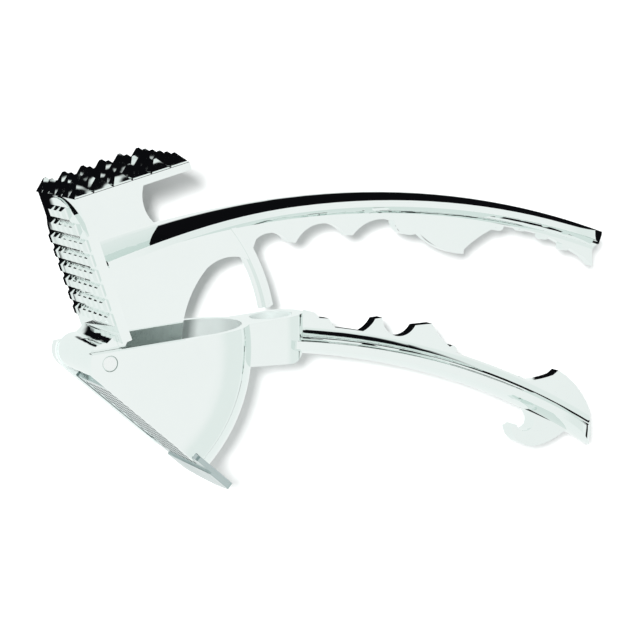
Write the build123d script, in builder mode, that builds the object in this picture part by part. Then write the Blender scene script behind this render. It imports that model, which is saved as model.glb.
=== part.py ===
from build123d import *
from math import asin, atan, cos, degrees, pi, radians, sin, tan
import os

# Hand-held multi-tool nutcracker, die cast and chrome plated, with a garlic press, an olive pitter,
# a bottle opener and a meat tenderiser. It lies on its side: X runs along the handles, Y is the
# tool's own upward direction and Z its width. The hinge axis is Z, through X = Y = 0, and the
# arms stand half open.

# overall
width = 35.0                # full width of the press and the tenderiser head
mid = width / 2             # plane of symmetry

# hinge
ear_radius = 6.0
ear_thickness = 3.6
barrel_radius = 5.5
barrel_relief = 0.6         # between the barrel and the casting round it
pin_radius = 2.4
pin_clearance = 0.05        # radial, between pin and barrel
side_gap = 0.3              # between an ear and the barrel, along the pin
pin_chamfer = 0.35
close_angle = 12.8          # turn from half open to shut

# press chamber: a wedge turned about the hinge, with a half-round back
wall = 2.4
chamber_reach = 51.0        # hinge axis to the outside of the back wall
sieve_angle = -41.4         # direction of the sieve plane from the hinge
wedge_low = -138.0          # turn of the solid that the wedge is trimmed from, and how far it goes
wedge_arc = 188.0
rim_height = 3.3            # the rim above the hinge axis
rim_slope = 5.2

# sieve plate, which slides out along its own plane
sieve_floor = 6.05          # hinge axis to the outer face of the rails
rail = 0.6                  # lip below the sieve plate
sieve_thickness = 1.6
sieve_clearance = 0.15
rail_grip = 1.1             # how far the plate runs into each side wall
sieve_start = 6.4           # near end of the plate, along its plane
tab_length = 14.0           # the pull tab, wider than the rails and thicker beyond tab_step
tab_step = 6.0
tab_reach = 4.0             # how far it stands past the chamber's back wall
tab_bulge = 1.6
tab_corner = 0.9
hole_radius = 0.85
hole_pitch = 3.1            # between holes in a row; rows are staggered
hole_margin = 2.8           # plate's edge to the middle of the first hole

# presser plate
presser_thickness = 3.0
presser_clearance = 0.4
presser_start = 7.0
presser_lift = 0.5          # between the presser and the sieve when shut

# olive pitter
rod_gap = 7.5               # chamber's back wall to the middle of the rod
rod_low = 11.4              # height of the rod's free end above the hinge axis
rod_high = 38.6             # and of its root, inside the handle
rod_width = 4.6
rod_rib = 1.6
cup_width = 18.0
cup_back = 3.5              # wall behind the seat
cup_offset = 0.6            # the rod swings in on a curve, so the seat stands a little further out
cup_floor = -5.6
cup_bore = 6.6              # radius of the seat
cup_depth = 8.4
cup_hole = 4.2              # radius of the way through for the stone

# bottle opener
opener_width = 6.0

# handles: T section, crowned outside
handle_width = 20.0
crown = 2.1
upper_lip = 2.0             # straight side of the flange
upper_cove = 2.6            # hollow between the flange and the web
lower_lip = 2.4
lower_cove = 4.0
root_depth = 0.4            # how far a flange section runs into its web
web = 4.0

# tenderiser head
front_lean = 18.4           # the front plate leans back from the tool's upward direction
front_foot = (4.0, 5.6)     # lower end of its front face
front_length = 44.6
front_plate = 3.0
top_slope = 15.4
top_length = 36.8
top_plate = 2.3
spike_rows = 6
spike_height = 3.6
spike_blunt = 0.5
spike_gap = 0.12            # valley between two spikes
stud_start = 7.2            # foot of the front plate to the first row
stud_margin = 0.7           # least gap beside the outer studs' pitch
stud_pitch = 4.6
stud_taper = 30
arch_drop = 11.4            # the studs stand on an arched panel: its springing below the top
arch_top = 0.7
arch_step = 0.7             # how far the corners outside the arch stand back
stud_height = 1.4
stud_size = 3.9

# what follows from these
head_start = chamber_reach + tab_reach - tab_length      # where the plate widens into its pull tab
sieve_end = chamber_reach + tab_reach
rod_reach = chamber_reach + rod_gap                      # hinge axis to the middle of the rod
cup_centre = rod_reach + cup_offset
cup_end = cup_centre + cup_bore + cup_back


def polar(radius, angle):
    return (radius * cos(radians(angle)), radius * sin(radians(angle)))


def turned_plane(angle):
    # radial plane through the hinge axis: local x outwards, local y along the axis
    c, s = polar(1, angle)
    return Plane(origin=(0, 0, 0), x_dir=(c, s, 0), z_dir=(s, -c, 0))


def along_plane(angle, distance, depth):
    # point in the X-Y plane: so far along a direction from the hinge, so far below it
    ax, ay = polar(distance, angle)
    dx, dy = polar(depth, angle - 90)
    return (ax + dx, ay + dy)


def past_cup(x, y):
    # point of a handle: x is measured from the end of the pitter cup
    return (cup_end + x, y)


def round_back(reach, inset):
    # plan of the chamber: straight sides and a half-round back
    radius = mid - inset
    centre = reach - mid
    with BuildLine() as outline:
        Polyline((centre, inset), (0, inset), (0, width - inset), (centre, width - inset))
        ThreePointArc((centre, width - inset), (centre + radius, mid), (centre, inset))
    return make_face(outline.edges(), mode=Mode.PRIVATE)


def tee(flange_width, lip, cove):
    # T section seen along the handle: local y points out of the crowned face
    half = flange_width / 2
    low = -crown - lip
    bottom = low - cove - root_depth
    with BuildLine() as outline:
        ThreePointArc((-half, -crown), (0, 0), (half, -crown))
        Line((half, -crown), (half, low))
        ThreePointArc((half, low), (half * 0.42, low - cove * 0.28), (web / 2, low - cove))
        Line((web / 2, low - cove), (web / 2, bottom))
        Line((web / 2, bottom), (-web / 2, bottom))
        Line((-web / 2, bottom), (-web / 2, low - cove))
        ThreePointArc((-web / 2, low - cove), (-half * 0.42, low - cove * 0.28), (-half, low))
        Line((-half, low), (-half, -crown))
    return make_face(outline.edges(), mode=Mode.PRIVATE)


# lines of the two handles, along the ridge of the crowned face
upper_start = (-1.0, 31.6)
upper_top = past_cup(12.8, 45.8)
upper_end = past_cup(110.8, 29.5)
root_share = 0.36           # stretch of the upper flange that widens towards the head
root_sections = 5
lower_start = past_cup(-6.2, -3.0)
lower_middle = past_cup(50.8, -15.3)
lower_end = past_cup(106.8, -42.1)

with BuildLine() as lower_line:
    ThreePointArc(lower_start, lower_middle, lower_end)

with BuildLine() as upper_line:
    ThreePointArc(upper_start, upper_top, upper_end)

# jar grips of the two webs
jar_curve = (past_cup(57.4, 26.2), past_cup(68.4, 32.4), past_cup(73.5, 33.4), past_cup(79.4, 32.5),
             past_cup(86.1, 30.2), past_cup(94.5, 26.3), past_cup(103.1, 21.6))
jar_teeth = 4
tooth_radius = 1.5


# lower arm: chamber, ears, pitter cup and handle in one casting
rim_tan = tan(radians(rim_slope))
rail_top = sieve_floor - rail                          # hinge line to the sieve's outer face
sieve_top = rail_top - sieve_thickness                 # hinge line to its inner face
slot_top = sieve_top - sieve_clearance
cup_rim = rim_height + rim_tan * cup_centre
cup_side = cup_end - cup_width / 2
cup_root = chamber_reach - 9                           # the block starts inside the chamber's back
grip_arc = (past_cup(52.4, -5.0), past_cup(71.4, -16.9), past_cup(91.9, -17.2))

with BuildPart() as lower_flange:
    with BuildSketch(Plane(origin=(*lower_start, mid), z_dir=lower_line.line % 0, x_dir=(0, 0, 1))):
        add(tee(handle_width, lower_lip, lower_cove))
    sweep(path=lower_line.line.moved(Location((0, 0, mid))))
    # plan: parallel, then a rounded tip
    with BuildSketch(Plane.XZ):
        with BuildLine():
            tip = lower_end[0]
            Polyline((tip - 18, mid - handle_width / 2), (chamber_reach, mid - handle_width / 2),
                     (chamber_reach, mid + handle_width / 2), (tip - 18, mid + handle_width / 2))
            Spline((tip - 18, mid + handle_width / 2), (tip - 4.5, mid + handle_width * 0.33), (tip, mid),
                   (tip - 4.5, mid - handle_width * 0.33), (tip - 18, mid - handle_width / 2),
                   tangents=((1, 0), (-1, 0)))
        make_face()
    extrude(amount=200, both=True, mode=Mode.INTERSECT)

with BuildPart() as lower_arm:
    # solid wedge, then its hollow
    with BuildSketch(turned_plane(wedge_low)):
        add(round_back(chamber_reach, 0))
    revolve(axis=Axis.Z, revolution_arc=wedge_arc)
    with BuildSketch(turned_plane(wedge_low)):
        add(round_back(chamber_reach, wall))
    revolve(axis=Axis.Z, revolution_arc=wedge_arc, mode=Mode.SUBTRACT)
    # trimmed to the wedge between the rim and the sieve
    with BuildSketch():
        with BuildLine():
            Polyline(
                along_plane(sieve_angle, 0, sieve_floor),
                along_plane(sieve_angle, chamber_reach + 20, sieve_floor),
                (chamber_reach + 20, rim_height + rim_tan * (chamber_reach + 20)),
                (0, rim_height),
                along_plane(sieve_angle, 0, sieve_floor),
            )
        make_face()
    extrude(amount=width, mode=Mode.INTERSECT)
    # ears
    for z in (0, width - ear_thickness):
        with BuildSketch(Plane.XY.offset(z)):
            Circle(ear_radius)
        extrude(amount=ear_thickness)
    # block of the olive pitter behind the chamber
    with BuildSketch(Plane.XZ.offset(-cup_floor)):
        with BuildLine():
            Line((cup_side, mid + cup_width / 2), (cup_root, mid + cup_width / 2))
            Line((cup_root, mid + cup_width / 2), (cup_root, mid - cup_width / 2))
            Line((cup_root, mid - cup_width / 2), (cup_side, mid - cup_width / 2))
            ThreePointArc((cup_side, mid - cup_width / 2), (cup_end, mid), (cup_side, mid + cup_width / 2))
        make_face()
    extrude(amount=-(cup_rim + 3 - cup_floor))
    with BuildSketch():
        # rim line above, swept-up underside towards the handle
        with BuildLine():
            Polyline((cup_end + 4, rim_height + rim_tan * (cup_end + 4)), (cup_end + 4, cup_rim + 9),
                     (-20, cup_rim + 9), (-20, rim_height - rim_tan * 20),
                     (cup_end + 4, rim_height + rim_tan * (cup_end + 4)))
        make_face()
        with BuildLine():
            Line((cup_end - 6, cup_floor), (cup_end + 4, cup_floor))
            Line((cup_end + 4, cup_floor), (cup_end + 4, cup_floor + 8))
            Line((cup_end + 4, cup_floor + 8), (cup_end, cup_floor + 7))
            ThreePointArc((cup_end, cup_floor + 7), (cup_end - 1.6, cup_floor + 3), (cup_end - 6, cup_floor))
        make_face()
    extrude(amount=width, mode=Mode.SUBTRACT)
    # handle, with the nut grips, the jar grip and the opener
    add(lower_flange.part)
    with BuildSketch(Plane.XY.offset(mid - web / 2)):
        with BuildLine():
            Polyline(past_cup(-9.2, -4), past_cup(-9.2, 4), past_cup(-0.8, 7.6), past_cup(2.2, 9.4),
                     past_cup(4.2, 8.9), past_cup(5.8, 7), past_cup(9.2, 6.6))
            ThreePointArc(past_cup(9.2, 6.6), past_cup(17.4, 1.2), past_cup(25.4, 5.6))
            Line(past_cup(25.4, 5.6), past_cup(28, 5.8))
            ThreePointArc(past_cup(28, 5.8), past_cup(33.6, -0.5), past_cup(39.8, 2.6))
            Line(past_cup(39.8, 2.6), past_cup(46, 2.8))
            ThreePointArc(past_cup(46, 2.8), past_cup(48.4, -1.0), grip_arc[0])
            ThreePointArc(*grip_arc)
            Line(grip_arc[2], past_cup(93.9, -15.8))
            ThreePointArc(past_cup(93.9, -15.8), past_cup(101.8, -22.4), past_cup(106.7, -31))
            Polyline(past_cup(106.7, -31), past_cup(107.2, -39), past_cup(105.4, -39.8))
            ThreePointArc(past_cup(105.4, -39.8), past_cup(50.8, -12.7), past_cup(-3.2, -1.5))
            Line(past_cup(-3.2, -1.5), past_cup(-9.2, -4))
        make_face()
    extrude(amount=web)
    grip = ThreePointArc(*grip_arc, mode=Mode.PRIVATE)
    with BuildSketch(Plane.XY.offset(mid - web / 2)):
        with Locations(*[grip @ (0.04 + 0.22 * i) for i in range(jar_teeth)]):
            Circle(tooth_radius)
    extrude(amount=web)
    with BuildSketch(Plane.XY.offset(mid - opener_width / 2)):
        with BuildLine():
            Spline(past_cup(97.3, -35.6), past_cup(89.8, -39.2), past_cup(83.4, -40.2), past_cup(78.4, -38.4),
                   past_cup(75.4, -33.4))
            Line(past_cup(75.4, -33.4), past_cup(77.4, -32.6))
            ThreePointArc(past_cup(77.4, -32.6), past_cup(81.2, -34.9), past_cup(83.8, -33.4))
            ThreePointArc(past_cup(83.8, -33.4), past_cup(84, -31.4), past_cup(81.8, -28.2))
            Line(past_cup(81.8, -28.2), past_cup(97.3, -35.6))
        make_face()
    extrude(amount=opener_width)

    # cup, with the way through for the stone
    with BuildSketch(Plane.XZ.offset(-cup_floor)):
        with Locations((cup_centre, mid)):
            Circle(cup_hole)
    extrude(amount=-(cup_rim + 5 - cup_floor), mode=Mode.SUBTRACT)
    with BuildSketch(Plane.XZ.offset(-(cup_rim - cup_depth))):
        with Locations((cup_centre, mid)):
            Circle(cup_bore)
    extrude(amount=-(cup_depth + 5), mode=Mode.SUBTRACT)
    # nothing of the block stands in the chamber
    with BuildSketch(turned_plane(wedge_low)):
        with BuildLine():
            Polyline((barrel_radius + barrel_relief, wall), (barrel_radius + barrel_relief, width - wall))
            Line((barrel_radius + barrel_relief, width - wall), (chamber_reach - mid, width - wall))
            ThreePointArc((chamber_reach - mid, width - wall), (chamber_reach - wall, mid),
                          (chamber_reach - mid, wall))
            Line((chamber_reach - mid, wall), (barrel_radius + barrel_relief, wall))
        make_face()
    revolve(axis=Axis.Z, revolution_arc=wedge_arc, mode=Mode.SUBTRACT)
    # the barrel turns between the ears
    with BuildSketch(Plane.XY.offset(ear_thickness)):
        Circle(barrel_radius + barrel_relief)
    extrude(amount=width - 2 * ear_thickness, mode=Mode.SUBTRACT)
    # groove for the sieve plate in both side walls
    with BuildSketch(Plane.XY.offset(wall - rail_grip - sieve_clearance)):
        with BuildLine():
            Polyline(
                along_plane(sieve_angle, sieve_start - 0.4, slot_top),
                along_plane(sieve_angle, chamber_reach + 12, slot_top),
                along_plane(sieve_angle, chamber_reach + 12, rail_top + sieve_clearance),
                along_plane(sieve_angle, sieve_start - 0.4, rail_top + sieve_clearance),
                close=True,
            )
        make_face()
    extrude(amount=width - 2 * (wall - rail_grip - sieve_clearance), mode=Mode.SUBTRACT)
    # the rails end where the pull tab widens
    with BuildSketch():
        with BuildLine():
            Polyline(
                along_plane(sieve_angle, head_start - 0.3, slot_top),
                along_plane(sieve_angle, chamber_reach + 12, slot_top),
                along_plane(sieve_angle, chamber_reach + 12, sieve_floor + 1),
                along_plane(sieve_angle, head_start - 0.3, sieve_floor + 1),
                close=True,
            )
        make_face()
    extrude(amount=width, mode=Mode.SUBTRACT)
    # pin bore through both ears
    with BuildSketch():
        Circle(pin_radius)
    extrude(amount=width, mode=Mode.SUBTRACT)
lower_arm.part.label = "lower_arm"

# hinge pin, pressed into the ears and flush with them
with BuildPart() as hinge_pin:
    Cylinder(pin_radius, width, align=(Align.CENTER, Align.CENTER, Align.MIN))
    chamfer(hinge_pin.edges().filter_by(GeomType.CIRCLE), pin_chamfer)
hinge_pin.part.label = "hinge_pin"

# sieve plate with its pull tab
sieve_plane = Plane(origin=(*along_plane(sieve_angle, 0, rail_top), mid),
                    x_dir=(cos(radians(sieve_angle)), sin(radians(sieve_angle)), 0),
                    z_dir=(-sin(radians(sieve_angle)), cos(radians(sieve_angle)), 0))
sieve_width = width - 2 * (wall - rail_grip)
tab_width = width - 0.6
row_step = hole_pitch * 0.75
hole_run = head_start + tab_step - hole_radius - sieve_clearance - sieve_start - hole_margin
hole_rows = int(hole_run / row_step) + 1
hole_columns = int((sieve_width - 2 * hole_margin) / hole_pitch)


def tab(start):
    # plan of the pull tab: square shoulders, a slightly bowed end and small round corners
    half = tab_width / 2
    shoulder = sieve_end - tab_corner
    nip = tab_corner * (1 - cos(radians(45)))
    with BuildLine() as outline:
        Polyline((shoulder, half), (start, half), (start, -half), (shoulder, -half))
        ThreePointArc((shoulder, -half), (sieve_end - nip, -half + nip), (sieve_end, -half + tab_corner))
        ThreePointArc((sieve_end, -half + tab_corner), (sieve_end + tab_bulge, 0),
                      (sieve_end, half - tab_corner))
        ThreePointArc((sieve_end, half - tab_corner), (sieve_end - nip, half - nip), (shoulder, half))
    return make_face(outline.edges(), mode=Mode.PRIVATE)


with BuildPart() as sieve_plate:
    with BuildSketch(sieve_plane):
        with Locations(((sieve_start + head_start + 1) / 2, 0)):
            Rectangle(head_start + 1 - sieve_start, sieve_width)
        add(tab(head_start))
        # staggered rows of holes
        for row in range(hole_rows):
            count = hole_columns - row % 2
            with Locations((sieve_start + hole_margin + row * row_step, 0)):
                with GridLocations(1, hole_pitch, 1, count):
                    Circle(hole_radius, mode=Mode.SUBTRACT)
    extrude(amount=sieve_thickness)
    # the tab is thicker, flush with the rails outside
    with BuildSketch(sieve_plane):
        add(tab(head_start + tab_step))
    extrude(amount=-rail)
sieve_plate.part.label = "sieve_plate"

# upper arm: barrel, presser, tenderiser head, pitter rod and handle in one casting
front_up = Vector(-sin(radians(front_lean)), cos(radians(front_lean)), 0)
front_back = Vector(cos(radians(front_lean)), sin(radians(front_lean)), 0)
foot = Vector(*front_foot, 0)
top_corner = foot + front_up * front_length
top_out = Vector(cos(radians(top_slope)), sin(radians(top_slope)), 0)
top_up = Vector(-sin(radians(top_slope)), cos(radians(top_slope)), 0)
presser_angle = sieve_angle + close_angle
presser_low = sieve_top - presser_lift           # hinge line to the presser's face
presser_reach = chamber_reach - wall - presser_clearance
presser_inset = wall + presser_clearance
rod_foot = degrees(asin(rod_low / rod_reach))
rod_root = degrees(asin(rod_high / rod_reach))
spike_x = top_length / spike_rows
spike_z = width / spike_rows
spike_taper = degrees(atan((min(spike_x, spike_z) - spike_gap - spike_blunt) / 2 / spike_height))
stud_columns = int((width - 2 * stud_margin) / stud_pitch)
stud_rows = int((front_length - stud_start) / stud_pitch)


def at(point):
    return (point.X, point.Y)


# the flange is as wide as the head at its root and narrows to the handle's own width
upper_edge = upper_line.edge()
slim_line = upper_edge.trim(root_share, 1)
with BuildPart() as upper_flange:
    with BuildSketch(Plane(origin=(*at(slim_line @ 0), mid), z_dir=slim_line % 0, x_dir=(0, 0, -1))):
        add(tee(handle_width, upper_lip, upper_cove))
    sweep(path=slim_line.moved(Location((0, 0, mid))))
with BuildPart() as root_flange:
    for step in range(root_sections + 1):
        share = root_share * step / root_sections
        spread = (1 + cos(pi * step / root_sections)) / 2
        place = upper_line.line @ share + Vector(0, 0, mid)
        with BuildSketch(Plane(origin=place, z_dir=upper_line.line % share, x_dir=(0, 0, -1))):
            add(tee(handle_width + (width - handle_width) * spread, upper_lip, upper_cove))
    loft()
with BuildPart() as upper_handle:
    add(upper_flange.part)
    add(root_flange.part)
    # plan: full width at the root, a rounded tip
    with BuildSketch(Plane.XZ):
        with BuildLine():
            tip = upper_end[0]
            Polyline((tip - 20, mid - handle_width / 2), (tip - 20, 0), (-20, 0), (-20, width),
                     (tip - 20, width), (tip - 20, mid + handle_width / 2))
            Spline((tip - 20, mid + handle_width / 2), (tip - 5.5, mid + handle_width * 0.31), (tip, mid),
                   (tip - 5.5, mid - handle_width * 0.31), (tip - 20, mid - handle_width / 2),
                   tangents=((1, 0), (-1, 0)))
        make_face()
    extrude(amount=200, both=True, mode=Mode.INTERSECT)
    # hollow under the tip
    with BuildSketch():
        with Locations((upper_end[0] + 1.6, upper_end[1] - 6)):
            Circle(6)
    extrude(amount=width, mode=Mode.SUBTRACT)

with BuildPart() as upper_arm:
    # presser plate, shaped like the chamber's plan
    with BuildSketch(turned_plane(presser_angle - 20)):
        with BuildLine():
            radius = mid - presser_inset
            centre = presser_reach - radius
            Polyline((centre, presser_inset), (presser_start, presser_inset),
                     (presser_start, width - presser_inset), (centre, width - presser_inset))
            ThreePointArc((centre, width - presser_inset), (presser_reach, mid), (centre, presser_inset))
        make_face()
    revolve(axis=Axis.Z, revolution_arc=50)
    with BuildSketch():
        with BuildLine():
            Polyline(
                along_plane(presser_angle, 0, presser_low),
                along_plane(presser_angle, 70, presser_low),
                along_plane(presser_angle, 70, presser_low - presser_thickness),
                along_plane(presser_angle, 0, presser_low - presser_thickness),
                close=True,
            )
        make_face()
    extrude(amount=width, mode=Mode.INTERSECT)
    # barrel
    with BuildSketch(Plane.XY.offset(ear_thickness + side_gap)):
        Circle(barrel_radius)
    extrude(amount=width - 2 * (ear_thickness + side_gap))
    # root of the head on the barrel
    with BuildSketch(Plane.XY.offset(ear_thickness + side_gap)):
        with BuildLine():
            Polyline((-1.0, barrel_radius - 1.4), at(foot + front_up * 2.4),
                     at(foot + front_up * 3 + front_back * 3), (barrel_radius + 1.6, 6.2),
                     (barrel_radius - 1.0, 0.5), (0, 0), (-1.0, barrel_radius - 1.4))
        make_face()
    extrude(amount=width - 2 * (ear_thickness + side_gap))
    # front and top plates of the tenderiser
    with BuildSketch():
        with BuildLine():
            Polyline(at(foot), at(top_corner), at(top_corner + top_out * top_length),
                     at(top_corner + top_out * top_length - top_up * top_plate),
                     at(top_corner + top_out * (front_plate + 0.2) - top_up * top_plate),
                     at(foot + front_back * front_plate), close=True)
        make_face()
    extrude(amount=width)
    add(upper_handle.part)
    # mid-plane web: stem of the presser, round window, nut grips and jar grip
    with BuildSketch(Plane.XY.offset(mid - web / 2)):
        with BuildLine():
            Polyline(at(foot + front_back), (0, 0), along_plane(presser_angle, 6, presser_low - 1),
                     along_plane(presser_angle, 30.5, presser_low - 1), (28.7, 3.0))
            ThreePointArc((28.7, 3.0), (31.6, 16.0), (37.0, 24.3))
            ThreePointArc((37.0, 24.3), past_cup(-25.6, 27.4), past_cup(-18.2, 26.4))
            Line(past_cup(-18.2, 26.4), past_cup(-15.7, 32.6))
            ThreePointArc(past_cup(-15.7, 32.6), past_cup(-10.7, 34.3), past_cup(-4.4, 31.1))
            Line(past_cup(-4.4, 31.1), past_cup(-2.4, 30.8))
            ThreePointArc(past_cup(-2.4, 30.8), past_cup(6.8, 36.5), past_cup(15.4, 32.4))
            Line(past_cup(15.4, 32.4), past_cup(17.4, 32.4))
            ThreePointArc(past_cup(17.4, 32.4), past_cup(26.3, 37), past_cup(32, 36.2))
            Spline(past_cup(32, 36.2), past_cup(34.2, 32.7), past_cup(37.3, 31.6), past_cup(40.8, 32.3))
            ThreePointArc(past_cup(40.8, 32.3), past_cup(46.4, 28), past_cup(54.8, 24.9))
            Polyline(past_cup(54.8, 24.9), past_cup(57.2, 24.7), jar_curve[0])
            Spline(*jar_curve)
            Polyline(jar_curve[-1], past_cup(106.6, 18.4), past_cup(106.2, 28))
            ThreePointArc(past_cup(106.2, 28), past_cup(30.8, 43), (23.0, 37.0))
            Line((23.0, 37.0), (20.5, 38.6))
            ThreePointArc((20.5, 38.6), (16.8, 44.6), (17.6, 52.0))
            Line((17.6, 52.0), at(top_corner + top_out * 5 - top_up))
            Line(at(top_corner + top_out * 5 - top_up), at(top_corner + front_back - front_up * 4))
            Line(at(top_corner + front_back - front_up * 4), at(foot + front_back))
        make_face()
    extrude(amount=web)
    jar = Spline(*jar_curve, mode=Mode.PRIVATE)
    with BuildSketch(Plane.XY.offset(mid - web / 2)):
        with Locations(*[jar @ (0.30 + 0.18 * i) for i in range(jar_teeth)]):
            Circle(tooth_radius)
    extrude(amount=web)
    # pitter rod, a cross in section and bent about the hinge
    with BuildSketch(turned_plane(rod_foot)):
        with Locations((rod_reach, mid)):
            Rectangle(rod_width, rod_rib)
            Rectangle(rod_rib, rod_width)
    revolve(axis=Axis.Z, revolution_arc=rod_root - rod_foot)
    # the corners of the front plate stand back from an arch
    with BuildSketch(Plane(origin=top_corner + Vector(0, 0, mid), x_dir=(0, 0, 1), z_dir=-front_back)):
        with BuildLine():
            Polyline((mid, -arch_drop), (mid, 0), (-mid, 0), (-mid, -arch_drop))
            ThreePointArc((-mid, -arch_drop), (0, -arch_top), (mid, -arch_drop))
        make_face()
    extrude(amount=-arch_step, mode=Mode.SUBTRACT)
    # blunt spikes on top, small studs in front
    with BuildSketch(Plane(origin=top_corner + Vector(0, 0, mid), x_dir=top_out, z_dir=top_up)):
        with Locations((top_length / 2, 0)):
            with GridLocations(spike_x, spike_z, spike_rows, spike_rows):
                Rectangle(spike_x - spike_gap, spike_z - spike_gap)
    extrude(amount=spike_height, taper=spike_taper)
    with BuildSketch(Plane(origin=foot + Vector(0, 0, mid), x_dir=(0, 0, 1), z_dir=-front_back)):
        for row in range(stud_rows):
            count = stud_columns - max(0, 2 * (row - (stud_rows - 3)))
            with Locations((0, stud_start + row * stud_pitch)):
                with GridLocations(stud_pitch, 1, count, 1):
                    Rectangle(stud_size, stud_size)
    extrude(amount=stud_height, taper=stud_taper)
    # pin bore
    with BuildSketch():
        Circle(pin_radius + pin_clearance)
    extrude(amount=width, mode=Mode.SUBTRACT)
upper_arm.part.label = "upper_arm"

os.makedirs("parts", exist_ok=True)
export_step(lower_arm.part, "parts/lower_arm.step")
export_step(hinge_pin.part, "parts/hinge_pin.step")
export_step(sieve_plate.part, "parts/sieve_plate.step")
export_step(upper_arm.part, "parts/upper_arm.step")
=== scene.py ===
import bmesh
import bpy
import numpy as np
from mathutils import Matrix, Vector


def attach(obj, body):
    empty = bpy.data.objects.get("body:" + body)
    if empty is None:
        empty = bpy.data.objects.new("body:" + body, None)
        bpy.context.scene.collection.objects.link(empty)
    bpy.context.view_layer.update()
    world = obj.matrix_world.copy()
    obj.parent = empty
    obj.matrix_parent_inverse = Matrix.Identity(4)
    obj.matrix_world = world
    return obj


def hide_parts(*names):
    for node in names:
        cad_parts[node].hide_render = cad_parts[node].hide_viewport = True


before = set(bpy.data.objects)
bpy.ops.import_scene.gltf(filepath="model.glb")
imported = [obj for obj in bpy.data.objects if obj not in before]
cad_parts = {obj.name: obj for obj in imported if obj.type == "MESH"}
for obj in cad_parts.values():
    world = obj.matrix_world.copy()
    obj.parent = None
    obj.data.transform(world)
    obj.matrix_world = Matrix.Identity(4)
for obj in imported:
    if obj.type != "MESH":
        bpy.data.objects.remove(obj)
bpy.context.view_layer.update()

scene = bpy.context.scene
print("frame loaded")


# camera: a long lens held above the tool as it lies on its side, from a little to the left
cameraSet = {
    "place": (-0.2050, 0.0940, 0.5920),
    "right": (0.8982, 0.0, 0.4395),
    "back": (-0.4354, 0.1362, 0.8898),
    "lens": 116.2,
    "sensor": 36,
}


def makeCamera(s):
    data = bpy.data.cameras.new("camera")
    data.lens = s["lens"]
    data.sensor_width = s["sensor"]
    data.clip_start = 0.01
    data.clip_end = 20
    camera = bpy.data.objects.new("camera", data)
    back = Vector(s["back"]).normalized()
    right = Vector(s["right"])
    right = (right - back * right.dot(back)).normalized()
    up = back.cross(right)
    camera.matrix_world = Matrix.Translation(s["place"]) @ Matrix((right, up, back)).transposed().to_4x4()
    scene.collection.objects.link(camera)
    scene.camera = camera
    print("camera placed")


makeCamera(cameraSet)


# small helpers for node trees
def addNode(tree, kind, **settings):
    node = tree.nodes.new(kind)
    for key, value in settings.items():
        setattr(node, key, value)
    return node


def setInputs(node, **values):
    for key, value in values.items():
        node.inputs[key.replace("_", " ")].default_value = value
    return node


def mathNode(tree, operation, a, b=None, c=None):
    node = addNode(tree, "ShaderNodeMath", operation=operation)
    for i, value in enumerate((a, b, c)):
        if value is None:
            continue
        if isinstance(value, (int, float)):
            node.inputs[i].default_value = value
        else:
            tree.links.new(value, node.inputs[i])
    return node.outputs[0]


def rampNode(tree, source, low, high, toLow=0.0, toHigh=1.0):
    node = addNode(tree, "ShaderNodeMapRange", interpolation_type="SMOOTHSTEP")
    tree.links.new(source, node.inputs["Value"])
    setInputs(node, From_Min=low, From_Max=high, To_Min=toLow, To_Max=toHigh)
    return node.outputs["Result"]


# stage: a white table. Its material paints a reflection that only mirrors see: black cards painted round
# the tool,
# which give the chrome its dark edges: one beyond the upper handle, one at the studded plate's foot, one
# between the handles
stageSet = {
    "halfSize": 2.5,
    "white": (0.93, 0.935, 0.935),
    "paperRoughness": 0.9,
    # painted handle card, seen only in mirrors: what lies outside this circle and beyond the hinge line,
    # right of the front plate or above the head
    "handleCentre": (0.0859, -0.2273), "handleRadius": 0.2775, "topReach": 0.0446,
    # painted front card, seen only in mirrors: a strip along the line where the front plate stands on the
    # table, from a little in front of it to behind it. The plate leans forward by frontLean degrees
    "frontFoot": (0.004, 0.0056), "frontLean": 18.4,
    "frontFront": -0.0045, "frontDepth": 0.012, "frontLow": 0.004, "frontHigh": 0.006,
    # painted grip card, seen only in mirrors: a ring that passes between the two handles, only right of
    # gripStart
    "gripCentre": (0.0905, -0.2090), "gripLow": 0.2088, "gripHigh": 0.2302, "gripStart": 0.0825,
    "soft": 0.0015,                     # how far a card's edge fades
    # colours of the painted reflection that mirrors see: a white glow and the painted black cards
    "paintedMirrorWhite": (0.93, 0.965, 0.955),
    "paintedCardBlack": (0.004, 0.004, 0.005),
}


def distanceFrom(tree, split, centre):
    dx = mathNode(tree, "SUBTRACT", split.outputs[0], centre[0])
    dy = mathNode(tree, "SUBTRACT", split.outputs[1], centre[1])
    squares = mathNode(tree, "MULTIPLY_ADD", dx, dx, mathNode(tree, "MULTIPLY", dy, dy))
    return mathNode(tree, "SQRT", squares)


def alongLine(tree, split, point, direction):
    # signed distance of the shaded place from a point, along a direction, both in the side view
    start = -point[0] * direction[0] - point[1] * direction[1]
    across = mathNode(tree, "MULTIPLY_ADD", split.outputs[1], direction[1], start)
    return mathNode(tree, "MULTIPLY_ADD", split.outputs[0], direction[0], across)


# painted reflection: the places of the black cards on the table, worked out so that mirrors show them on
# the chrome's edges
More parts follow.
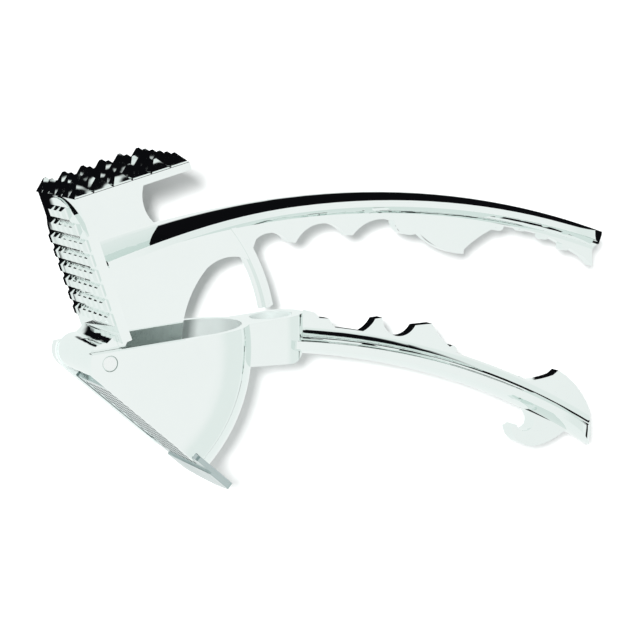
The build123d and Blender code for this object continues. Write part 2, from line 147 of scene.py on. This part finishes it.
def paintCardReflections(tree, split, s):
    soft = s["soft"]
    lean = np.radians(s["frontLean"])
    back, up = (np.cos(lean), np.sin(lean)), (-np.sin(lean), np.cos(lean))
    behind = alongLine(tree, split, s["frontFoot"], back)
    height = alongLine(tree, split, s["frontFoot"], up)
    far = distanceFrom(tree, split, s["handleCentre"])
    beyond = rampNode(tree, far, s["handleRadius"], s["handleRadius"] + soft)
    rightOf = rampNode(tree, behind, 0.0, soft)
    above = rampNode(tree, height, s["topReach"], s["topReach"] + soft)
    ahead = rampNode(tree, split.outputs[1], 0.0, soft)
    paintedHandleCard = mathNode(tree, "MULTIPLY", mathNode(tree, "MULTIPLY", beyond, ahead),
                          mathNode(tree, "MAXIMUM", rightOf, above))
    front = rampNode(tree, behind, s["frontFront"], s["frontFront"] + soft)
    near = rampNode(tree, behind, s["frontDepth"], s["frontDepth"] + soft, 1.0, 0.0)
    low = rampNode(tree, height, s["frontLow"], s["frontHigh"])
    paintedFrontCard = mathNode(tree, "MULTIPLY", mathNode(tree, "MULTIPLY", front, near), low)
    grip = distanceFrom(tree, split, s["gripCentre"])
    inner = rampNode(tree, grip, s["gripLow"], s["gripLow"] + soft)
    outer = rampNode(tree, grip, s["gripHigh"], s["gripHigh"] + soft, 1.0, 0.0)
    start = rampNode(tree, split.outputs[0], s["gripStart"], s["gripStart"] + soft)
    paintedGripCard = mathNode(tree, "MULTIPLY", mathNode(tree, "MULTIPLY", inner, outer), start)
    return mathNode(tree, "MAXIMUM", mathNode(tree, "MAXIMUM", paintedHandleCard, paintedFrontCard), paintedGripCard)


def makeFloor(s):
    h = s["halfSize"]
    mesh = bpy.data.meshes.new("table")
    mesh.from_pydata([(-h, -h, 0), (h, -h, 0), (h, h, 0), (-h, h, 0)], [], [(0, 1, 2, 3)])
    table = bpy.data.objects.new("table", mesh)
    scene.collection.objects.link(table)
    mat = bpy.data.materials.new("tableWithPaintedReflections")
    mat.use_nodes = True
    tree = mat.node_tree
    paper = tree.nodes["Principled BSDF"]
    setInputs(paper, Base_Color=s["white"] + (1,), Roughness=s["paperRoughness"])
    paper.inputs["Specular IOR Level"].default_value = 0.0
    split = addNode(tree, "ShaderNodeSeparateXYZ")
    tree.links.new(addNode(tree, "ShaderNodeTexCoord").outputs["Object"], split.inputs[0])
    shade = addNode(tree, "ShaderNodeMix", data_type="RGBA")
    shade.inputs[6].default_value = s["paintedMirrorWhite"] + (1,)
    shade.inputs[7].default_value = s["paintedCardBlack"] + (1,)
    tree.links.new(paintCardReflections(tree, split, s), shade.inputs[0])
    # painted reflection: only mirrors see the glow with the black cards painted in it, everything else
    # sees plain paper
    paintedGlow = addNode(tree, "ShaderNodeEmission")
    tree.links.new(shade.outputs[2], paintedGlow.inputs["Color"])
    mix = addNode(tree, "ShaderNodeMixShader")
    tree.links.new(addNode(tree, "ShaderNodeLightPath").outputs["Is Glossy Ray"], mix.inputs[0])
    tree.links.new(paper.outputs[0], mix.inputs[1])
    tree.links.new(paintedGlow.outputs[0], mix.inputs[2])
    tree.links.new(mix.outputs[0], tree.nodes["Material Output"].inputs["Surface"])
    mesh.materials.append(mat)
    print("table laid")


makeFloor(stageSet)


# light: a white tent with a dark wall beyond the upper handle, and one lamp well behind the camera,
# a little to its left.
# Heights and sides of the tent are parts of a unit direction, so 1 is straight up
lightSet = {
    "tentTop": (1.0, 1.0, 1.0),
    "tentLow": (0.87, 0.915, 0.90),
    "tentFrom": 0.60, "tentTo": 1.0,
    "mirrorStrength": 1.0,              # what mirrors see of the tent
    "fillStrength": 0.74,               # what lights the table
    "wallBlack": (0.004, 0.004, 0.005),
    "wallStart": 0.60, "wallEnd": 0.66,
    "wallLow": 0.45, "wallHigh": 0.475,
    "wallLeft": -0.42, "wallRight": -0.36,
    "lampPlace": (-0.75, 0.34, 1.3),
    "lampSize": 0.26,
    "lampPower": 30.0,
}


def makeLight(s):
    world = bpy.data.worlds.new("tent")
    scene.world = world
    world.use_nodes = True
    tree = world.node_tree
    ground = tree.nodes["Background"]
    coords = addNode(tree, "ShaderNodeTexCoord").outputs["Generated"]
    split = addNode(tree, "ShaderNodeSeparateXYZ")
    tree.links.new(coords, split.inputs[0])
    height = rampNode(tree, split.outputs[2], s["tentFrom"], s["tentTo"])
    shade = addNode(tree, "ShaderNodeMix", data_type="RGBA")
    shade.inputs[6].default_value = s["tentLow"] + (1,)
    shade.inputs[7].default_value = s["tentTop"] + (1,)
    tree.links.new(height, shade.inputs[0])
    toward = rampNode(tree, split.outputs[1], s["wallStart"], s["wallEnd"])
    below = rampNode(tree, split.outputs[2], s["wallLow"], s["wallHigh"], 1.0, 0.0)
    beside = rampNode(tree, split.outputs[0], s["wallLeft"], s["wallRight"])
    wall = addNode(tree, "ShaderNodeMix", data_type="RGBA")
    dark = mathNode(tree, "MULTIPLY", mathNode(tree, "MULTIPLY", toward, below), beside)
    tree.links.new(dark, wall.inputs[0])
    tree.links.new(shade.outputs[2], wall.inputs[6])
    wall.inputs[7].default_value = s["wallBlack"] + (1,)
    tree.links.new(wall.outputs[2], ground.inputs["Color"])
    # mirrors see the tent at full strength, the table gets less of it so that the lamp's shadows tell
    mirror = addNode(tree, "ShaderNodeLightPath").outputs["Is Glossy Ray"]
    strength = addNode(tree, "ShaderNodeMapRange")
    tree.links.new(mirror, strength.inputs["Value"])
    setInputs(strength, To_Min=s["fillStrength"], To_Max=s["mirrorStrength"])
    tree.links.new(strength.outputs["Result"], ground.inputs["Strength"])
    data = bpy.data.lights.new("lamp", "AREA")
    data.size = s["lampSize"]
    data.energy = s["lampPower"]
    lamp = bpy.data.objects.new("lamp", data)
    place = Vector(s["lampPlace"])
    lamp.matrix_world = Matrix.Translation(place) @ place.to_track_quat("Z", "Y").to_matrix().to_4x4()
    lamp.visible_glossy = False
    scene.collection.objects.link(lamp)
    scene.view_settings.view_transform = "Standard"
    print("lights set")


makeLight(lightSet)


# shared group for every metal: faint ripple, dimples under a mask, fine rub marks, dull patches
polishSet = {
    "inputs": {"Ripple Scale": 60.0, "Ripple Height": 0.1, "Scratch Height": 0.05, "Dull Low": 0.03,
               "Dull High": 0.09, "Dimple Scale": 170.0, "Dimple Height": 0.0, "Dimple Mask": 0.0},
    "rippleDetail": 1.0, "rippleRoughness": 0.4,
    "rubStretch": (90.0, 1500.0, 1500.0), "rubTurn": (0.3, 0.5, 0.35),
    "rubDetail": 3.0, "rubRoughness": 0.6,
    "patchScale": 38.0, "patchDetail": 4.0, "patchRoughness": 0.62, "patchLow": 0.35, "patchHigh": 0.75,
    "dimpleDetail": 0.6, "dimpleRoughness": 0.4,
    "waveDepth": 0.0004, "rubDepth": 0.00002,
}


def makePolishGroup(s):
    group = bpy.data.node_groups.new("polishedCasting", "ShaderNodeTree")
    face = group.interface
    for name, start in s["inputs"].items():
        face.new_socket(name, in_out="INPUT", socket_type="NodeSocketFloat").default_value = start
    face.new_socket("Roughness", in_out="OUTPUT", socket_type="NodeSocketFloat")
    face.new_socket("Normal", in_out="OUTPUT", socket_type="NodeSocketVector")
    face.new_socket("Tone", in_out="OUTPUT", socket_type="NodeSocketFloat")
    inside = addNode(group, "NodeGroupInput").outputs
    outside = addNode(group, "NodeGroupOutput").inputs
    coords = addNode(group, "ShaderNodeTexCoord").outputs["Object"]
    ripple = addNode(group, "ShaderNodeTexNoise")
    setInputs(ripple, Detail=s["rippleDetail"], Roughness=s["rippleRoughness"])
    group.links.new(coords, ripple.inputs["Vector"])
    group.links.new(inside["Ripple Scale"], ripple.inputs["Scale"])
    stretch = addNode(group, "ShaderNodeMapping")
    setInputs(stretch, Scale=s["rubStretch"], Rotation=s["rubTurn"])
    group.links.new(coords, stretch.inputs["Vector"])
    rubs = addNode(group, "ShaderNodeTexNoise")
    setInputs(rubs, Scale=1.0, Detail=s["rubDetail"], Roughness=s["rubRoughness"])
    group.links.new(stretch.outputs[0], rubs.inputs["Vector"])
    patches = addNode(group, "ShaderNodeTexNoise")
    setInputs(patches, Scale=s["patchScale"], Detail=s["patchDetail"], Roughness=s["patchRoughness"])
    group.links.new(coords, patches.inputs["Vector"])
    dull = addNode(group, "ShaderNodeMapRange")
    setInputs(dull, From_Min=s["patchLow"], From_Max=s["patchHigh"])
    group.links.new(patches.outputs[0], dull.inputs["Value"])
    group.links.new(inside["Dull Low"], dull.inputs["To Min"])
    group.links.new(inside["Dull High"], dull.inputs["To Max"])
    group.links.new(dull.outputs["Result"], outside["Roughness"])
    group.links.new(patches.outputs[0], outside["Tone"])
    wave = addNode(group, "ShaderNodeBump")
    setInputs(wave, Distance=s["waveDepth"])
    group.links.new(inside["Ripple Height"], wave.inputs["Strength"])
    group.links.new(ripple.outputs[0], wave.inputs["Height"])
    dents = addNode(group, "ShaderNodeTexNoise")
    setInputs(dents, Detail=s["dimpleDetail"], Roughness=s["dimpleRoughness"])
    group.links.new(coords, dents.inputs["Vector"])
    group.links.new(inside["Dimple Scale"], dents.inputs["Scale"])
    dented = addNode(group, "ShaderNodeBump")
    setInputs(dented, Distance=s["waveDepth"])
    group.links.new(inside["Dimple Height"], dented.inputs["Strength"])
    masked = mathNode(group, "MULTIPLY", dents.outputs[0], inside["Dimple Mask"])
    group.links.new(masked, dented.inputs["Height"])
    group.links.new(wave.outputs[0], dented.inputs["Normal"])
    fine = addNode(group, "ShaderNodeBump")
    setInputs(fine, Distance=s["rubDepth"])
    group.links.new(inside["Scratch Height"], fine.inputs["Strength"])
    group.links.new(rubs.outputs[0], fine.inputs["Height"])
    group.links.new(dented.outputs[0], fine.inputs["Normal"])
    group.links.new(fine.outputs[0], outside["Normal"])
    return group


polishGroup = makePolishGroup(polishSet)
print("polish ready")


# where the casting is dimpled: beyond any of some planes, each a point and a direction in the side view
dimpleFade = (0.0001, 0.0005)


def dimpleMask(tree, planes):
    split = addNode(tree, "ShaderNodeSeparateXYZ")
    tree.links.new(addNode(tree, "ShaderNodeTexCoord").outputs["Object"], split.inputs[0])
    mask = None
    for point, angle in planes:
        direction = (np.cos(np.radians(angle)), np.sin(np.radians(angle)))
        beyond = rampNode(tree, alongLine(tree, split, point, direction), *dimpleFade)
        mask = beyond if mask is None else mathNode(tree, "MAXIMUM", mask, beyond)
    return mask


def makeMetal(name, s):
    mat = bpy.data.materials.new(name)
    mat.use_nodes = True
    tree = mat.node_tree
    shader = tree.nodes["Principled BSDF"]
    shader.inputs["Metallic"].default_value = s["metallic"]
    polish = addNode(tree, "ShaderNodeGroup", node_tree=polishGroup)
    for key, value in s["polish"].items():
        polish.inputs[key].default_value = value
    if "dimpled" in s:
        tree.links.new(dimpleMask(tree, s["dimpled"]), polish.inputs["Dimple Mask"])
    tint = addNode(tree, "ShaderNodeMix", data_type="RGBA")
    tint.inputs[6].default_value = s["bright"] + (1,)
    tint.inputs[7].default_value = s["shadow"] + (1,)
    tree.links.new(polish.outputs["Tone"], tint.inputs[0])
    tree.links.new(tint.outputs[2], shader.inputs["Base Color"])
    tree.links.new(polish.outputs["Roughness"], shader.inputs["Roughness"])
    tree.links.new(polish.outputs["Normal"], shader.inputs["Normal"])
    return mat


# finishes: the two castings are bright chrome, the pin and the sieve are plain steel.
# A finish runs from bright to shadow over its patches
castingChrome = {
    "metallic": 1.0,
    "bright": (0.865, 0.915, 0.90), "shadow": (0.825, 0.88, 0.862),
    "polish": {"Ripple Scale": 55.0, "Ripple Height": 0.08, "Scratch Height": 0.03,
               "Dull Low": 0.012, "Dull High": 0.045},
}
# the spikes and the studs of the upper casting are less even than the rest of it: beyond the top plate's
# upper face and beyond the front plate's front face
headPolish = dict(castingChrome["polish"], **{"Dimple Scale": 190.0, "Dimple Height": 0.5})
headPlanes = (((-0.01008, 0.04792), 105.4), ((0.0040, 0.0056), 198.4))
headChrome = dict(castingChrome, polish=headPolish, dimpled=headPlanes)
pinSteel = {
    "metallic": 1.0,
    "bright": (0.90, 0.93, 0.92), "shadow": (0.80, 0.84, 0.825),
    "polish": {"Ripple Scale": 120.0, "Ripple Height": 0.05, "Scratch Height": 0.15,
               "Dull Low": 0.08, "Dull High": 0.18},
}
sieveSteel = {
    "metallic": 1.0,
    "bright": (0.53, 0.61, 0.605), "shadow": (0.38, 0.46, 0.46),
    "polish": {"Ripple Scale": 90.0, "Ripple Height": 0.08, "Scratch Height": 0.25,
               "Dull Low": 0.10, "Dull High": 0.22},
}
# painted shade: a near-black finish for the hole walls, in place of the shade inside the holes
paintedHoleShade = {
    "metallic": 1.0,
    "bright": (0.05, 0.055, 0.055), "shadow": (0.02, 0.022, 0.022),
    "polish": {"Ripple Scale": 90.0, "Ripple Height": 0.0, "Scratch Height": 0.3,
               "Dull Low": 0.35, "Dull High": 0.6},
}


# the hollows of the lower casting are duller and paler than its polished outside
rawInside = {
    "metallic": 0.45,
    "bright": (0.86, 0.90, 0.89), "shadow": (0.72, 0.78, 0.765),
    "polish": {"Ripple Scale": 160.0, "Ripple Height": 0.25, "Scratch Height": 0.3,
               "Dull Low": 0.22, "Dull High": 0.40},
}


# soft edges: a merged copy of a CAD piece, whose sharp edges get a small rounding as on a real casting.
# Faces in one plane are joined first, so that the rounding has clean edges to follow
edgeSet = {
    "merge": 2e-6,                      # points closer than this are one
    "flat": 0.6,                        # degrees between faces that count as one plane
    "sharp": 28.0,                      # degrees between faces whose edge is rounded
    "flatWeight": 100,                  # how much the large faces keep their own direction
}


def roundedCopy(s, finish):
    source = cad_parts[s["node"]]
    mesh = bpy.data.meshes.new(s["name"])
    work = bmesh.new()
    work.from_mesh(source.data)
    bmesh.ops.remove_doubles(work, verts=work.verts, dist=edgeSet["merge"])
    bmesh.ops.dissolve_limit(work, angle_limit=np.radians(edgeSet["flat"]),
                             verts=work.verts, edges=work.edges)
    for face in work.faces:
        face.smooth = True
    work.to_mesh(mesh)
    work.free()
    piece = bpy.data.objects.new(s["name"], mesh)
    scene.collection.objects.link(piece)
    mesh.materials.append(finish)
    bevel = piece.modifiers.new("softEdges", "BEVEL")
    bevel.width = s["rounding"]
    bevel.segments = s["steps"]
    bevel.limit_method = "ANGLE"
    bevel.angle_limit = np.radians(edgeSet["sharp"])
    bevel.use_clamp_overlap = True
    bevel.miter_outer = "MITER_ARC"
    flat = piece.modifiers.new("flatFaces", "WEIGHTED_NORMAL")
    flat.mode = "FACE_AREA"
    flat.weight = edgeSet["flatWeight"]
    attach(piece, s["body"])
    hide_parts(s["node"])
    print(s["name"], "rounded,", len(mesh.polygons), "faces before rounding")
    return piece


def faceData(mesh):
    count = len(mesh.polygons)
    centres, normals, areas = np.empty(count * 3), np.empty(count * 3), np.empty(count)
    mesh.polygons.foreach_get("center", centres)
    mesh.polygons.foreach_get("normal", normals)
    mesh.polygons.foreach_get("area", areas)
    return centres.reshape(-1, 3), normals.reshape(-1, 3), areas


def secondFinish(piece, finish, chosen):
    piece.data.materials.append(finish)
    piece.data.polygons.foreach_set("material_index", chosen.astype(np.int32))
    print(piece.name, "faces with the second finish:", int(chosen.sum()))


# hollows: faces inside the press chamber, which is turned about the hinge, and inside the pitter's cup
hollowSet = {
    "mid": 0.0175,                      # middle plane of the tool
    "backCentre": 0.0335, "backRadius": 0.01525,
    "cupCentre": 0.0591, "cupRadius": 0.0067, "cupFloor": -0.0055,
}


def roughenHollows(piece, finish, s):
    centres = faceData(piece.data)[0]
    reach = np.hypot(centres[:, 0], centres[:, 1])
    side = np.abs(centres[:, 2] - s["mid"])
    straight = (reach < s["backCentre"]) & (side < s["backRadius"])
    chamber = straight | (np.hypot(reach - s["backCentre"], side) < s["backRadius"])
    cup = np.hypot(centres[:, 0] - s["cupCentre"], side) < s["cupRadius"]
    cup &= centres[:, 1] > s["cupFloor"]
    secondFinish(piece, finish, chamber | cup)


# painted shade: the walls of the punched holes get a near-black colour so that the holes look dark
# inside. The walls are the small faces square to the plate, off its rim
holeSet = {
    "slide": (0.750111, -0.661312, 0.0),      # the way the plate slides out
    "face": (0.661312, 0.750111, 0.0),        # square to the plate
    "slant": 0.3,                             # a wall leans less than this towards the plate's face
    "rim": 0.002, "end": 0.001,
    "largest": 2e-6,                          # square metres
}


def paintHoleShade(piece, finish, s):
    centres, normals, areas = faceData(piece.data)
    along = centres @ np.array(s["slide"])
    square = np.abs(normals @ np.array(s["face"])) < s["slant"]
    across = centres[:, 2]
    inside = (across > across.min() + s["rim"]) & (across < across.max() - s["rim"])
    inside &= (along > along.min() + s["end"]) & (along < along.max() - s["end"])
    secondFinish(piece, finish, square & inside & (areas < s["largest"]))


chromeLower = makeMetal("lowerChrome", castingChrome)
chromeUpper = makeMetal("upperChrome", headChrome)
steelPin = makeMetal("pinSteel", pinSteel)
steelSieve = makeMetal("sieveSteel", sieveSteel)
holeShadeFinish = makeMetal("sieveHolesPaintedShade", paintedHoleShade)
rawCasting = makeMetal("rawInside", rawInside)

# pieces: each takes the place of its CAD node and rides on that node's body
lowerSet = {
    "node": "lower_arm", "name": "lower_casting", "body": "lower_body", "slot": "chrome_plate",
    "rounding": 0.00028, "steps": 2,
}
upperSet = {
    "node": "upper_arm", "name": "upper_casting", "body": "upper_body", "slot": "chrome_plate_upper",
    "rounding": 0.00022, "steps": 2,
}
pinSet = {
    "node": "hinge_pin", "name": "pin_bar", "body": "lower_body", "slot": "pin_steel",
    "rounding": 0.00012, "steps": 2,
}
sieveSet = {
    "node": "sieve_plate", "name": "sieve_sheet", "body": "sieve", "slot": "sieve_steel",
    "rounding": 0.00004, "steps": 1,
}

lowerCasting = roundedCopy(lowerSet, chromeLower)
roundedCopy(upperSet, chromeUpper)
roundedCopy(pinSet, steelPin)
sieveSheet = roundedCopy(sieveSet, steelSieve)
paintHoleShade(sieveSheet, holeShadeFinish, holeSet)
roughenHollows(lowerCasting, rawCasting, hollowSet)
print("pieces finished")
